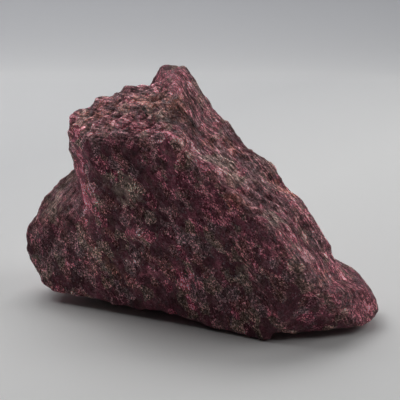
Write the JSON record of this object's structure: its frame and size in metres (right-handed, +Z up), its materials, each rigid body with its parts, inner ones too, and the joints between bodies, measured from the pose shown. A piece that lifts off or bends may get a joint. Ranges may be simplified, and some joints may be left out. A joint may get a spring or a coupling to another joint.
{
  "type": "raw rhodonite stone",
  "caption": "Rough, unpolished lump of rhodonite: a wedge with a broad flat-broken front, a top knob, a blunt lobe at one end and a pointed tip at the other.",
  "frame": {"origin": "centre of the bounding box in X and Y, on the surface that the stone rests on", "axes": "+Z up, +X from the blunt lobe to the pointed tip, the broad dark front faces -Y"},
  "size_m": [0.1234, 0.0664, 0.083],
  "materials": {
    "rhodonite": "rough crystalline break, dark grey-brown mottled with rose pink, small glints"
  },
  "bodies": {
    "root": {"rhodonite_stone": "rhodonite"}
  },
  "joints": []
}
